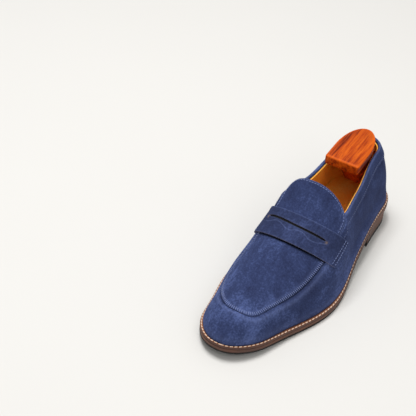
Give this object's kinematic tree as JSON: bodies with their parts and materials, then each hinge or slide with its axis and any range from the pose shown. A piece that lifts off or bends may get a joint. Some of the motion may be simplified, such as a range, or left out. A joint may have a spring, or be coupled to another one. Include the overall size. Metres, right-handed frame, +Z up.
{
  "type": "penny loafer",
  "caption": "Men's suede penny loafer with a slotted strap, stitched apron, welted sole and stacked heel, holding the wooden heel block of a shoe tree.",
  "frame": {"origin": "centre of the bounding box in plan, on the floor under the sole", "axes": "+X towards the toe, +Y towards the wearer's left (the outer side of this left shoe), +Z up"},
  "size_m": [0.302, 0.1079, 0.1028],
  "materials": {
    "suede": "napped navy suede",
    "lining_leather": "smooth tan lining leather",
    "stiffener_board": "stiffened cloth board",
    "backing_cloth": "black backing cloth",
    "upper_thread": "light blue waxed thread",
    "welt_thread": "cream waxed thread",
    "welt_leather": "brown edge-inked welt leather",
    "sole_leather": "brown edge-inked sole leather",
    "sole_rubber": "matt black rubber",
    "insole_board": "undyed insole leather",
    "cork": "ground cork paste",
    "shank_steel": "spring steel strip",
    "nail_brass": "brass heel pins",
    "tree_wood": "oiled reddish cedar"
  },
  "bodies": {
    "shoe": {"vamp": "suede", "apron": "suede", "quarter_lateral": "suede", "quarter_medial": "suede", "collar_band": "suede", "backstay": "suede", "strap": "suede", "quarter_lining": "lining_leather", "vamp_lining": "lining_leather", "tongue_lining": "lining_leather", "sock_liner": "lining_leather", "toe_puff": "stiffener_board", "heel_counter": "stiffener_board", "strap_backing": "backing_cloth", "apron_thread": "upper_thread", "tongue_thread": "upper_thread", "collar_thread": "upper_thread", "strap_thread_inner": "upper_thread", "strap_thread_outer": "upper_thread", "welt_thread": "welt_thread", "welt": "welt_leather", "outsole": "sole_leather", "heel_lift_1": "sole_leather", "heel_lift_2": "sole_leather", "heel_lift_3": "sole_leather", "rubber_sole": "sole_rubber", "top_piece": "sole_rubber", "insole": "insole_board", "cork_filler": "cork", "shank": "shank_steel", "heel_nails": "nail_brass"},
    "tree": {"tree_block": "tree_wood"}
  },
  "joints": [
    {"name": "tree_lift", "type": "slide", "parent": "shoe", "child": "tree", "axis": [0.5, 0, 0.866], "range_m": [0, 0.12]}
  ]
}
